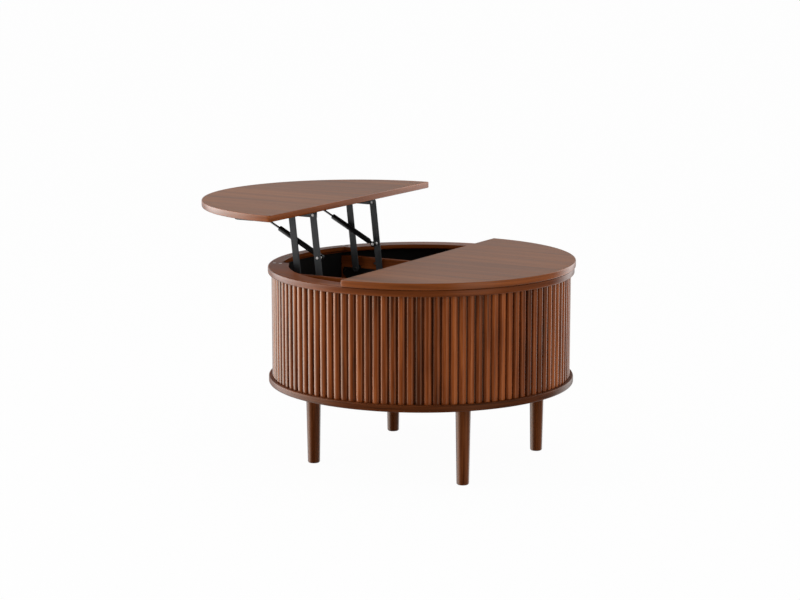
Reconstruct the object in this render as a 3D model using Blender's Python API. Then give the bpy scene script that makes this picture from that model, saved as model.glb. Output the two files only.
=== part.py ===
# Round lift-top coffee table: a slatted drum on four legs, with a top cut in two halves.
# One half is fixed, the other rides on two parallel-arm lift units with gas struts.
# Modelled with the lift half raised. Metres, +Z up, +Y towards the fixed half.
# The origin lies on the floor, under the middle of the table with its top raised.

import math

import bmesh
import bpy
from mathutils import Matrix, Vector

# Clearance between pieces that touch
CLEARANCE = 0.0003

# Half tops: overhangs are counted from the slats' crowns
TOP_OVERHANG = 0.011
TOP_THICKNESS = 0.015
SPLIT_GAP = 0.002
TOP_EDGE_ROUND = 0.003

# Ring and base board
RING_OVERHANG = 0.008
RING_WIDTH = 0.047
RING_THICKNESS = 0.015
RING_REBATE = 0.006
RING_NOTCH_DEPTH = 0.018
RING_NOTCH_SIDE_GAP = 0.0025
BASE_OVERHANG = 0.008
BASE_THICKNESS = 0.015
BOARD_EDGE_ROUND = 0.003

# Drum wall: half-round slats on a backing, glued to a liner; its diameter is taken over the slats
DRUM_DIAMETER = 0.678
DRUM_HEIGHT = 0.235
SLAT_WIDTH = 0.0165
SLAT_GROOVE = 0.0022
SLAT_CROWN = 0.006
SLAT_BACKING = 0.0012
LINER_THICKNESS = 0.003

# Legs and the bolts that hold them
LEG_HEIGHT = 0.180
LEG_TOP_DIAMETER = 0.035
LEG_FOOT_DIAMETER = 0.0275
LEG_FOOT_CHAMFER = 0.0015
LEG_SIDE_SET = 0.178
LEG_FRONT_SET = 0.178
LEG_BACK_SET = 0.207
LEG_BOLT_DIAMETER = 0.008
LEG_BOLT_IN_LEG = 0.035
LEG_BOLT_IN_BASE = 0.011

# Upright boards that carry the lift units
MECHANISM_BOARD_SET = 0.1445
MECHANISM_BOARD_THICKNESS = 0.015
MECHANISM_BOARD_TOP_GAP = 0.0065

# Parallel arms
ARM_LENGTH = 0.162
ARM_SPACING = 0.062
ARM_WIDTH = 0.0168
ARM_THICKNESS = 0.003
ARM_EDGE_ROUND = 0.0006
ARM_OPEN_LEAN = math.radians(6.5)
ARM_CLOSED_RISE = math.radians(12.8)
PIVOT_DROP = 0.0115

# Base bracket
BASE_PLATE_THICKNESS = 0.0025
BASE_PLATE_FRONT = 0.042
BASE_PLATE_BACK = 0.024
BASE_PLATE_DROP = 0.001
BASE_PLATE_BELOW = 0.036
BASE_PLATE_CORNER = 0.007
BASE_PLATE_WALL_GAP = 0.0066
BASE_LUG_HALF = 0.0075
BASE_LUG_ROUND = 0.007
BASE_SCREW_HOLE = 0.0048
BASE_SCREW_INSET = 0.0065
ARM_STANDOFF = 0.002

# Top bracket
BRACKET_THICKNESS = 0.0025
BRACKET_WIDTH = 0.024
BRACKET_BEND_ROUND = 0.002
BRACKET_BACK = 0.008
BRACKET_RIB = 0.006
BRACKET_FRONT_ROUND = 0.012
BRACKET_WEB = 0.0022
BRACKET_SCREW_HOLE = 0.0045
BRACKET_SCREW_INSET = 0.022

# Pivots
PIN_DIAMETER = 0.006
PIN_HEAD_DIAMETER = 0.0084
PIN_HEAD_HEIGHT = 0.0012
PIN_SHOULDER_DIAMETER = 0.009
STOP_PIN_DIAMETER = 0.006
STOP_PIN_REACH = 0.016

# Gas struts: sizes along the strut are counted from its stud on the rear arm
STRUT_STUD_SET = 0.098
STRUT_OPEN_SLOPE = math.radians(27.5)
STRUT_PIN_RISE = 0.002
STRUT_RING_GAP = 0.0154
STRUT_END_GAP = 0.00125
STRUT_TUBE_DIAMETER = 0.0125
STRUT_TUBE_NECK = 0.010
STRUT_NECK_DIAMETER = 0.007
STRUT_BORE_START = 0.014
STRUT_ROD_DIAMETER = 0.005
STRUT_ROD_HOLD = 0.012
STRUT_EYE_DIAMETER = 0.013
STRUT_ROD_EYE_DIAMETER = 0.0095
STRUT_EYE_WIDTH = 0.008
STRUT_COLLAR_DIAMETER = 0.007
STRUT_SIDE_GAP = 0.0023

# Steps round curves
DISC_STEPS = 72
TURNED_STEPS = 20
PIN_STEPS = 12
CORNER_STEPS = 4
CROWN_STEPS = 4
SLOT_STEPS = 14

# Heights
BASE_LOW = LEG_HEIGHT
BASE_HIGH = BASE_LOW + BASE_THICKNESS
RING_LOW = BASE_HIGH + DRUM_HEIGHT
RING_HIGH = RING_LOW + RING_THICKNESS
TOP_LOW = RING_HIGH + CLEARANCE

# Radii of the drum wall, from the outside in
CROWN_RADIUS = DRUM_DIAMETER / 2
BACKING_RADIUS = CROWN_RADIUS - SLAT_CROWN
TAMBOUR_INSIDE = BACKING_RADIUS - SLAT_BACKING
LINER_OUTSIDE = TAMBOUR_INSIDE - CLEARANCE
LINER_INSIDE = LINER_OUTSIDE - LINER_THICKNESS
SLAT_COUNT = round(2 * math.pi * BACKING_RADIUS / (SLAT_WIDTH + SLAT_GROOVE))
# A facet of the liner lies a little inside its circle
WALL_REACH = LINER_INSIDE * math.cos(math.pi / SLAT_COUNT) - CLEARANCE
TOP_RADIUS = CROWN_RADIUS + TOP_OVERHANG
RING_RADIUS = CROWN_RADIUS + RING_OVERHANG
RING_INSIDE = RING_RADIUS - RING_WIDTH
RING_NOTCH_RADIUS = RING_INSIDE + RING_NOTCH_DEPTH
BASE_RADIUS = CROWN_RADIUS + BASE_OVERHANG

# Layers of a lift unit along X, from its board inwards
BOARD_FACE = MECHANISM_BOARD_SET - MECHANISM_BOARD_THICKNESS / 2
PLATE_OUT = BOARD_FACE - CLEARANCE
PLATE_IN = PLATE_OUT - BASE_PLATE_THICKNESS
REAR_ARM_OUT = PLATE_IN - ARM_STANDOFF
RING_NOTCH_HALF = REAR_ARM_OUT + RING_NOTCH_SIDE_GAP
REAR_ARM_IN = REAR_ARM_OUT - ARM_THICKNESS
FLANGE_OUT = REAR_ARM_IN - CLEARANCE
FLANGE_IN = FLANGE_OUT - BRACKET_THICKNESS
SLOT_FLANGE_IN = FLANGE_OUT - BRACKET_WIDTH
SLOT_FLANGE_OUT = SLOT_FLANGE_IN + BRACKET_THICKNESS
FRONT_ARM_OUT = FLANGE_IN - CLEARANCE
FRONT_ARM_IN = FRONT_ARM_OUT - ARM_THICKNESS
STRUT_SET = FRONT_ARM_IN - STRUT_SIDE_GAP - STRUT_TUBE_DIAMETER / 2
EYE_OUT = STRUT_SET + STRUT_EYE_WIDTH / 2
EYE_IN = STRUT_SET - STRUT_EYE_WIDTH / 2

# Pivots in the Y-Z plane, about the drum's axis: the arms turn from lying to past upright
ARM_CLOSED = Vector((0, math.cos(ARM_CLOSED_RISE), math.sin(ARM_CLOSED_RISE)))
ARM_OPEN = Vector((0, -math.sin(ARM_OPEN_LEAN), math.cos(ARM_OPEN_LEAN)))
ARM_TURN = math.pi / 2 + ARM_OPEN_LEAN - ARM_CLOSED_RISE
FRONT_OFFSET = Vector((0, -ARM_SPACING, 0))
BOARD_END = math.sqrt(WALL_REACH ** 2 - BOARD_FACE ** 2)
REAR_BASE_Y = -BOARD_END + BASE_PLATE_WALL_GAP + BASE_PLATE_FRONT + ARM_SPACING
REAR_BASE = Vector((0, REAR_BASE_Y, TOP_LOW - PIVOT_DROP - ARM_LENGTH * ARM_CLOSED.z))
REAR_TOP_CLOSED = REAR_BASE + ARM_LENGTH * ARM_CLOSED
REAR_TOP = REAR_BASE + ARM_LENGTH * ARM_OPEN
LID_TRAVEL = REAR_TOP - REAR_TOP_CLOSED

# Strut: its rod-end pin lies at one height when open and when closed, where it just clears the ring
STUD_PLACE = (ARM_LENGTH - STRUT_STUD_SET) * ARM_OPEN
STUD_CLOSED = -STRUT_STUD_SET * ARM_CLOSED
STRUT_OPEN_LENGTH = (STRUT_STUD_SET * ARM_OPEN.z + STRUT_PIN_RISE) / math.sin(STRUT_OPEN_SLOPE)
RING_EDGE_Y = -math.sqrt(RING_INSIDE ** 2 - FLANGE_OUT ** 2)
PIN_CLOSED = Vector((0, RING_EDGE_Y + STRUT_RING_GAP - REAR_TOP_CLOSED.y, STRUT_PIN_RISE))
STRUT_CLOSED_LENGTH = (PIN_CLOSED - STUD_CLOSED).length
STRUT_CLOSED_SLOPE = math.asin((PIN_CLOSED - STUD_CLOSED).z / STRUT_CLOSED_LENGTH)
STRUT_TUBE_END = STRUT_CLOSED_LENGTH - STRUT_ROD_EYE_DIAMETER / 2 - STRUT_END_GAP

# The raised lid reaches out past the drum, so the drum's axis stands behind the origin
DRUM_AXIS_Y = -LID_TRAVEL.y / 2

PIN_RADIUS = PIN_DIAMETER / 2
PIN_HOLE_RADIUS = PIN_RADIUS + CLEARANCE

WALNUT = (0.23, 0.10, 0.055)
DARK_WALNUT = (0.16, 0.065, 0.032)
BLACK = (0.012, 0.011, 0.011)
STEEL_GREY = (0.075, 0.08, 0.082)
ZINC = (0.62, 0.62, 0.60)


def clear_scene():
    for item in list(bpy.data.objects):
        bpy.data.objects.remove(item, do_unlink=True)


def make_material(name, colour, roughness, metallic):
    material = bpy.data.materials.new(name)
    material.use_nodes = True
    shader = material.node_tree.nodes["Principled BSDF"]
    shader.inputs["Base Color"].default_value = (*colour, 1)
    shader.inputs["Roughness"].default_value = roughness
    shader.inputs["Metallic"].default_value = metallic
    return material


def make_empty(name, parent, place):
    empty = bpy.data.objects.new(name, None)
    bpy.context.collection.objects.link(empty)
    empty.parent = parent
    empty.location = place
    return empty


def make_object(name, shape, parent, finish=None, place=(0, 0, 0), turn=0.0):
    # Turns the bmesh into an object, shaded smooth but for its sharp edges
    bmesh.ops.recalc_face_normals(shape, faces=shape.faces)
    mesh = bpy.data.meshes.new(name)
    shape.to_mesh(mesh)
    shape.free()
    mesh.shade_smooth()
    mesh.set_sharp_from_angle(angle=math.radians(35))
    thing = bpy.data.objects.new(name, mesh)
    bpy.context.collection.objects.link(thing)
    thing.parent = parent
    thing.location = place
    thing.rotation_euler = (turn, 0, 0)
    if finish:
        mesh.materials.append(make_material(name, *finish))
    return thing


def lathe(profile, steps):
    # Turns (radius, height) pairs about Z; a profile that leaves the axis closes on itself
    shape = bmesh.new()
    rings = []
    for radius, height in profile:
        count = steps if radius > 0 else 1
        angles = [2 * math.pi * k / steps for k in range(count)]
        rings.append([shape.verts.new((radius * math.cos(a), radius * math.sin(a), height)) for a in angles])
    pairs = list(zip(rings, rings[1:]))
    if profile[0][0] > 0:
        pairs.append((rings[-1], rings[0]))
    for low, high in pairs:
        for k in range(steps):
            after = (k + 1) % steps
            corners = [low[k % len(low)], low[after % len(low)], high[after % len(high)], high[k % len(high)]]
            shape.faces.new(list(dict.fromkeys(corners)))
    return shape


def turned_pin(side, sections):
    # A pin along X: each section is a radius and where it starts and ends, from the board inwards
    profile = [(0, sections[0][1])]
    for radius, start, end in sections:
        profile += [(radius, start), (radius, end)]
    profile.append((0, sections[-1][2]))
    shape = lathe(profile, PIN_STEPS)
    along = Matrix(((0, 0, side, 0), (1, 0, 0, 0), (0, 1, 0, 0), (0, 0, 0, 1)))
    shape.transform(along)
    return shape


def prism(outline, start, end, axis):
    # Extrudes an outline along X (outline in Y and Z) or along Z (outline in X and Y)
    shape = bmesh.new()
    layers = []
    for level in (start, end):
        if axis == "X":
            layers.append([shape.verts.new((level, u, v)) for u, v in outline])
        else:
            layers.append([shape.verts.new((u, v, level)) for u, v in outline])
    low, high = layers
    shape.faces.new(low)
    shape.faces.new(list(reversed(high)))
    for k in range(len(outline)):
        after = (k + 1) % len(outline)
        shape.faces.new((low[k], high[k], high[after], low[after]))
    return shape


def rounded(corners):
    # Outline from (u, v, radius) corners, each corner an arc between its tangent points
    outline = []
    for k, (u, v, radius) in enumerate(corners):
        here = Vector((u, v))
        back = (Vector(corners[k - 1][:2]) - here).normalized()
        ahead = (Vector(corners[(k + 1) % len(corners)][:2]) - here).normalized()
        if radius == 0:
            outline.append(here)
            continue
        half = back.angle(ahead) / 2
        middle = here + (back + ahead).normalized() * radius / math.sin(half)
        first = here + back * radius / math.tan(half) - middle
        last = here + ahead * radius / math.tan(half) - middle
        sweep = first.angle_signed(last)
        for step in range(CORNER_STEPS + 1):
            turned = first.copy()
            turned.rotate(Matrix.Rotation(-sweep * step / CORNER_STEPS, 2))
            outline.append(middle + turned)
    return outline


def arc(radius, first, last, steps):
    angles = [first + (last - first) * k / steps for k in range(steps + 1)]
    return [(radius * math.cos(a), radius * math.sin(a)) for a in angles]


def strip(path, half_width):
    # Outline of a slot of even width that follows a path, with round ends
    left = []
    right = []
    for k, point in enumerate(path):
        along = (path[min(k + 1, len(path) - 1)] - path[max(k - 1, 0)]).normalized()
        across = Vector((-along.y, along.x)) * half_width
        left.append(point + across)
        right.append(point - across)
    caps = []
    for centre, start in ((path[-1], left[-1]), (path[0], right[0])):
        cap = []
        for step in range(1, 2 * CORNER_STEPS):
            spoke = start - centre
            spoke.rotate(Matrix.Rotation(-math.pi * step / (2 * CORNER_STEPS), 2))
            cap.append(centre + spoke)
        caps.append(cap)
    return left + caps[0] + right[::-1] + caps[1]


def combine(target, shape, operation):
    # Joins a shape to the target or cuts it out; the tool moves with its target
    tool = make_object(target.name + "_" + operation.lower(), shape, target)
    tool.hide_render = True
    tool.display_type = "WIRE"
    modifier = target.modifiers.new(operation.title(), "BOOLEAN")
    modifier.operation = operation
    modifier.object = tool


def cut_holes(target, side, centres, radius, outer, inner):
    # Round holes along X, cut past both faces of a plate
    for y, z in centres:
        hole = turned_pin(side, [(radius, outer + radius, inner - radius)])
        hole.transform(Matrix.Translation((0, y, z)))
        combine(target, hole, "DIFFERENCE")


def round_edges(target, width, segments):
    bevel = target.modifiers.new("Edges", "BEVEL")
    bevel.width = width
    bevel.segments = segments
    bevel.limit_method = "ANGLE"
    bevel.angle_limit = math.radians(40)


def build_base_board(drum):
    profile = [(0, BASE_LOW), (BASE_RADIUS, BASE_LOW), (BASE_RADIUS, BASE_HIGH), (0, BASE_HIGH)]
    board = make_object("base_board", lathe(profile, DISC_STEPS), drum, (DARK_WALNUT, 0.45, 0))
    round_edges(board, BOARD_EDGE_ROUND, 2)
    bore = LEG_BOLT_DIAMETER / 2 + CLEARANCE
    depth = BASE_LOW + LEG_BOLT_IN_BASE + CLEARANCE
    for x, y in leg_places().values():
        hole = lathe([(0, BASE_LOW - bore), (bore, BASE_LOW - bore), (bore, depth), (0, depth)], PIN_STEPS)
        hole.transform(Matrix.Translation((x, y, 0)))
        combine(board, hole, "DIFFERENCE")


def leg_places():
    return {
        "front_left": (-LEG_SIDE_SET, -LEG_FRONT_SET),
        "front_right": (LEG_SIDE_SET, -LEG_FRONT_SET),
        "back_left": (-LEG_SIDE_SET, LEG_BACK_SET),
        "back_right": (LEG_SIDE_SET, LEG_BACK_SET),
    }


def build_legs(drum):
    foot = LEG_FOOT_DIAMETER / 2
    head = LEG_HEIGHT - CLEARANCE
    bolt = LEG_BOLT_DIAMETER / 2
    bore = bolt + CLEARANCE
    floor = head - LEG_BOLT_IN_LEG
    leg_profile = [
        (0, 0), (foot - LEG_FOOT_CHAMFER, 0), (foot, LEG_FOOT_CHAMFER), (LEG_TOP_DIAMETER / 2, head),
        (bore, head), (bore, floor - CLEARANCE), (0, floor - CLEARANCE),
    ]
    tip = LEG_HEIGHT + LEG_BOLT_IN_BASE
    chamfer = bolt / 4
    bolt_profile = [
        (0, floor), (bolt - chamfer, floor), (bolt, floor + chamfer),
        (bolt, tip - chamfer), (bolt - chamfer, tip), (0, tip),
    ]
    for name, (x, y) in leg_places().items():
        make_object("leg_" + name, lathe(leg_profile, TURNED_STEPS), drum, (DARK_WALNUT, 0.4, 0), (x, y, 0))
        make_object("leg_bolt_" + name, lathe(bolt_profile, PIN_STEPS), drum, (ZINC, 0.35, 1), (x, y, 0))


def build_drum_liner(drum):
    low = BASE_HIGH + CLEARANCE
    high = RING_LOW - CLEARANCE
    profile = [(LINER_OUTSIDE, high), (LINER_OUTSIDE, low), (LINER_INSIDE, low), (LINER_INSIDE, high)]
    # Facets line up with the tambour's, so the two stay parallel
    shape = lathe(profile, SLAT_COUNT)
    shape.transform(Matrix.Rotation(math.pi / SLAT_COUNT, 4, "Z"))
    make_object("drum_liner", shape, drum, (BLACK, 0.8, 0))


def build_tambour(drum):
    # One sector per slat: half an ellipse on the backing, with half a groove on each side
    low = BASE_HIGH + CLEARANCE
    high = RING_LOW - CLEARANCE
    half_pitch = math.pi / SLAT_COUNT
    shape = bmesh.new()
    half_slat = SLAT_WIDTH / 2
    section = [Vector((BACKING_RADIUS * math.cos(half_pitch), -BACKING_RADIUS * math.sin(half_pitch)))]
    for step in range(CROWN_STEPS + 1):
        turn = math.pi * step / CROWN_STEPS
        section.append(Vector((BACKING_RADIUS + SLAT_CROWN * math.sin(turn), -half_slat * math.cos(turn))))
    section.append(Vector((section[0].x, -section[0].y)))
    for radius_side in (1, -1):
        section.append(Vector((math.cos(half_pitch), radius_side * math.sin(half_pitch))) * TAMBOUR_INSIDE)
    for slat in range(SLAT_COUNT):
        spin = Matrix.Rotation(2 * half_pitch * slat, 2)
        turned = [spin @ point for point in section]
        layers = [[shape.verts.new((p.x, p.y, z)) for p in turned] for z in (low, high)]
        shape.faces.new(layers[0])
        shape.faces.new(layers[1][::-1])
        # The side between two sectors stays open, because the sectors are welded there
        for k in list(range(len(section) - 3)) + [len(section) - 2]:
            shape.faces.new((layers[0][k], layers[1][k], layers[1][k + 1], layers[0][k + 1]))
    bmesh.ops.remove_doubles(shape, verts=shape.verts, dist=CLEARANCE / 10)
    make_object("tambour_slats", shape, drum, (DARK_WALNUT, 0.4, 0))


def build_top_ring(drum):
    # Thinner inside the drum's wall, and cut back at the front between the lift units
    profile = [
        (RING_RADIUS, RING_HIGH), (RING_RADIUS, RING_LOW), (RING_INSIDE, RING_LOW), (RING_INSIDE, RING_HIGH),
    ]
    ring = make_object("top_ring", lathe(profile, DISC_STEPS), drum, (WALNUT, 0.4, 0))
    round_edges(ring, BOARD_EDGE_ROUND, 2)
    past_low = RING_LOW - RING_REBATE
    past_high = RING_HIGH + RING_REBATE
    lip_low = RING_LOW + RING_REBATE
    rebate = [(0, past_low), (LINER_INSIDE, past_low), (LINER_INSIDE, lip_low), (0, lip_low)]
    combine(ring, lathe(rebate, DISC_STEPS), "DIFFERENCE")
    reach = math.acos(RING_NOTCH_HALF / RING_NOTCH_RADIUS)
    notch = arc(RING_NOTCH_RADIUS, reach - math.pi, -reach, DISC_STEPS // 4)
    notch += [(RING_NOTCH_HALF, -RING_INSIDE / 2), (-RING_NOTCH_HALF, -RING_INSIDE / 2)]
    combine(ring, prism(notch, past_low, past_high, "Z"), "DIFFERENCE")


def build_half_top(name, parent, facing, height, offset):
    # Half a disc, short of the dividing line by half the gap
    reach = math.asin(SPLIT_GAP / 2 / TOP_RADIUS)
    outline = [(x, facing * y + offset) for x, y in arc(TOP_RADIUS, reach, math.pi - reach, DISC_STEPS // 2)]
    top = make_object(name, prism(outline, height, height + TOP_THICKNESS, "Z"), parent, (WALNUT, 0.35, 0))
    round_edges(top, TOP_EDGE_ROUND, 2)


def build_mechanism_board(drum, side, name):
    # The ends follow the drum's wall, the top stays short of the ring
    outer = BOARD_FACE + MECHANISM_BOARD_THICKNESS
    outer_end = math.sqrt(WALL_REACH ** 2 - outer ** 2)
    outline = [
        (side * BOARD_FACE, -BOARD_END), (side * outer, -outer_end),
        (side * outer, outer_end), (side * BOARD_FACE, BOARD_END),
    ]
    shape = prism(outline, BASE_HIGH + CLEARANCE, RING_LOW - MECHANISM_BOARD_TOP_GAP, "Z")
    make_object("mechanism_board_" + name, shape, drum, (WALNUT, 0.5, 0))


def build_base_bracket(drum, side, name):
    # A plate on the board with an ear round each pivot, narrower below, with holes for four screws
    front = -ARM_SPACING - BASE_PLATE_FRONT
    top = -BASE_PLATE_DROP
    slope = BASE_PLATE_FRONT / 2
    corner = BASE_PLATE_CORNER
    corners = [(front, top, corner)]
    for y in (-ARM_SPACING, 0):
        ear = (y - BASE_LUG_HALF, y + BASE_LUG_HALF)
        corners += [(ear[0], top, 0), (ear[0], BASE_LUG_HALF, BASE_LUG_ROUND)]
        corners += [(ear[1], BASE_LUG_HALF, BASE_LUG_ROUND), (ear[1], top, 0)]
    corners += [
        (BASE_PLATE_BACK, top, corner), (BASE_PLATE_BACK, -BASE_PLATE_BELOW / 2, corner),
        (BASE_PLATE_BACK - slope, -BASE_PLATE_BELOW, corner),
        (front + slope, -BASE_PLATE_BELOW, corner), (front, -BASE_PLATE_BELOW / 2, corner),
    ]
    outline = rounded(corners)
    shape = prism(outline, side * PLATE_OUT, side * PLATE_IN, "X")
    plate = make_object("base_bracket_" + name, shape, drum, (STEEL_GREY, 0.5, 0.6), REAR_BASE)
    cut_holes(plate, side, [(0, 0), (-ARM_SPACING, 0)], PIN_HOLE_RADIUS, PLATE_OUT, PLATE_IN)
    low = -BASE_PLATE_BELOW + BASE_SCREW_INSET
    high = top - BASE_SCREW_INSET
    screws = [
        (front + BASE_SCREW_INSET, high), (BASE_PLATE_BACK - BASE_SCREW_INSET, high),
        (front + slope + BASE_SCREW_INSET, low), (BASE_PLATE_BACK - slope - BASE_SCREW_INSET, low),
    ]
    cut_holes(plate, side, screws, BASE_SCREW_HOLE / 2, PLATE_OUT, PLATE_IN)


def stop_place():
    # From the rear base pivot to the stop on the board, against the front edge of the raised rear arm
    edge = Vector((0, -math.cos(ARM_OPEN_LEAN), -math.sin(ARM_OPEN_LEAN)))
    return STOP_PIN_REACH * ARM_OPEN + (ARM_WIDTH / 2 + CLEARANCE + STOP_PIN_DIAMETER / 2) * edge


def build_arm(name, parent, side, outer, inner, holes):
    # A flat bar with round ends, drawn upright from its base pivot and leaned to its raised place
    radius = ARM_WIDTH / 2
    upper = [(x, z + ARM_LENGTH) for x, z in arc(radius, 0, math.pi, 2 * CORNER_STEPS)]
    lower = arc(radius, math.pi, 2 * math.pi, 2 * CORNER_STEPS)
    shape = prism(upper + lower, side * outer, side * inner, "X")
    arm = make_object(name, shape, parent, (STEEL_GREY, 0.45, 0.6), turn=ARM_OPEN_LEAN)
    round_edges(arm, ARM_EDGE_ROUND, 1)
    cut_holes(arm, side, [(0, height) for height in holes], PIN_HOLE_RADIUS, outer, inner)


def strut_pin_path():
    # Path of the rod-end pin in the top bracket, about the rear top pivot, from open to closed:
    # the strut swings and shortens evenly while the arm turns
    path = []
    for step in range(SLOT_STEPS + 1):
        part = step / SLOT_STEPS
        rise = math.pi / 2 + ARM_OPEN_LEAN - ARM_TURN * part
        stud = -STRUT_STUD_SET * Vector((0, math.cos(rise), math.sin(rise)))
        length = STRUT_OPEN_LENGTH + (STRUT_CLOSED_LENGTH - STRUT_OPEN_LENGTH) * part
        slope = STRUT_OPEN_SLOPE + (STRUT_CLOSED_SLOPE - STRUT_OPEN_SLOPE) * part
        pin = stud + length * strut_direction(slope)
        path.append(Vector((pin.y, pin.z)))
    return path


def strut_direction(slope):
    return Vector((0, -math.cos(slope), math.sin(slope)))


def build_top_bracket(lid, side, name):
    # A steel angle under the lid, whose flange carries the arms; at its front it is a channel,
    # with a deep inner flange for the slot of the strut's pin
    path = strut_pin_path()
    front = min(point.x for point in path) - PIN_HOLE_RADIUS - BRACKET_WEB
    deep = min(point.y for point in path) - PIN_HOLE_RADIUS - BRACKET_WEB
    knee = path[0].x + PIN_HOLE_RADIUS + BRACKET_WEB
    high = PIVOT_DROP - CLEARANCE
    shelf_low = high - BRACKET_THICKNESS
    section = rounded([
        (FLANGE_OUT, deep, 0), (FLANGE_IN, deep, 0), (FLANGE_IN, shelf_low, 0),
        (SLOT_FLANGE_OUT, shelf_low, 0), (SLOT_FLANGE_OUT, deep, 0), (SLOT_FLANGE_IN, deep, 0),
        (SLOT_FLANGE_IN, high, BRACKET_BEND_ROUND), (FLANGE_OUT, high, BRACKET_BEND_ROUND),
    ])
    shape = prism([(side * x, z) for x, z in section], front, BRACKET_BACK, "Z")
    # The section is drawn in X and Z and runs along Y
    shape.transform(Matrix(((1, 0, 0, 0), (0, 0, 1, 0), (0, 1, 0, 0), (0, 0, 0, 1))))
    bracket = make_object("top_bracket_" + name, shape, lid, (STEEL_GREY, 0.5, 0.6))
    past_back = BRACKET_BACK + BRACKET_WEB
    past_front = front - BRACKET_WEB
    past_low = deep - BRACKET_WEB
    past_out = side * (FLANGE_OUT + BRACKET_WEB)
    between = side * (FLANGE_IN + SLOT_FLANGE_OUT) / 2
    past_in = side * (SLOT_FLANGE_IN - BRACKET_WEB)
    outer_trim = [
        (past_back, -BRACKET_RIB), (past_back, past_low), (past_front, past_low), (past_front, -BRACKET_RIB),
    ]
    combine(bracket, prism(outer_trim, past_out, between, "X"), "DIFFERENCE")
    inner_trim = rounded([
        (past_back, shelf_low, 0), (past_back, past_low, 0), (knee - BRACKET_RIB, past_low, 0),
        (knee + BRACKET_RIB, shelf_low, BRACKET_RIB),
    ])
    combine(bracket, prism(inner_trim, between, past_in, "X"), "DIFFERENCE")
    bend = front + BRACKET_FRONT_ROUND
    rise = deep + BRACKET_FRONT_ROUND
    front_trim = [(past_front, rise), (past_front, past_low), (bend, past_low)]
    for y, z in arc(BRACKET_FRONT_ROUND, 1.5 * math.pi, math.pi, CORNER_STEPS):
        front_trim.append((bend + y, rise + z))
    combine(bracket, prism(front_trim, between, past_in, "X"), "DIFFERENCE")
    cut_holes(bracket, side, [(0, 0), (-ARM_SPACING, 0)], PIN_HOLE_RADIUS, FLANGE_OUT, FLANGE_IN)
    combine(bracket, prism(strip(path, PIN_HOLE_RADIUS), between, past_in, "X"), "DIFFERENCE")
    radius = BRACKET_SCREW_HOLE / 2
    screw_profile = [
        (0, high + radius), (radius, high + radius), (radius, shelf_low - radius), (0, shelf_low - radius),
    ]
    for y in (BRACKET_BACK - BRACKET_SCREW_INSET, (front + BRACKET_BACK) / 2, front + BRACKET_SCREW_INSET):
        hole = lathe(screw_profile, PIN_STEPS)
        hole.transform(Matrix.Translation((between, y, 0)))
        combine(bracket, hole, "DIFFERENCE")


def build_pins(drum, rear, lid, side, name):
    finish = (ZINC, 0.3, 1)
    head = PIN_HEAD_DIAMETER / 2
    shoulder = PIN_SHOULDER_DIAMETER / 2

    def base_pin(pin_name, place, arm_out, arm_in):
        sections = [
            (PIN_RADIUS, PLATE_OUT, PLATE_IN - CLEARANCE),
            (shoulder, PLATE_IN - CLEARANCE, arm_out + CLEARANCE),
            (PIN_RADIUS, arm_out + CLEARANCE, arm_in - CLEARANCE),
            (head, arm_in - CLEARANCE, arm_in - CLEARANCE - PIN_HEAD_HEIGHT),
        ]
        make_object(pin_name, turned_pin(side, sections), drum, finish, place)

    def top_pin(pin_name, place, outer, inner):
        sections = [
            (head, outer + CLEARANCE + PIN_HEAD_HEIGHT, outer + CLEARANCE),
            (PIN_RADIUS, outer + CLEARANCE, inner - CLEARANCE),
            (head, inner - CLEARANCE, inner - CLEARANCE - PIN_HEAD_HEIGHT),
        ]
        make_object(pin_name, turned_pin(side, sections), lid, finish, place)

    base_pin("rear_base_pin_" + name, REAR_BASE, REAR_ARM_OUT, REAR_ARM_IN)
    base_pin("front_base_pin_" + name, REAR_BASE + FRONT_OFFSET, FRONT_ARM_OUT, FRONT_ARM_IN)
    top_pin("rear_top_pin_" + name, (0, 0, 0), REAR_ARM_OUT, FLANGE_IN)
    top_pin("front_top_pin_" + name, FRONT_OFFSET, FLANGE_OUT, FRONT_ARM_IN)

    stop = [(STOP_PIN_DIAMETER / 2, PLATE_OUT, REAR_ARM_IN + ARM_THICKNESS / 4)]
    make_object("stop_pin_" + name, turned_pin(side, stop), drum, finish, REAR_BASE + stop_place())

    collar = STRUT_COLLAR_DIAMETER / 2
    stud = [
        (head, REAR_ARM_OUT + CLEARANCE + PIN_HEAD_HEIGHT, REAR_ARM_OUT + CLEARANCE),
        (PIN_RADIUS, REAR_ARM_OUT + CLEARANCE, REAR_ARM_IN - CLEARANCE),
        (collar, REAR_ARM_IN - CLEARANCE, EYE_OUT + CLEARANCE),
        (PIN_RADIUS, EYE_OUT + CLEARANCE, EYE_IN - CLEARANCE),
        (head, EYE_IN - CLEARANCE, EYE_IN - CLEARANCE - PIN_HEAD_HEIGHT),
    ]
    make_object("strut_stud_" + name, turned_pin(side, stud), rear, finish, STUD_PLACE)


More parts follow.
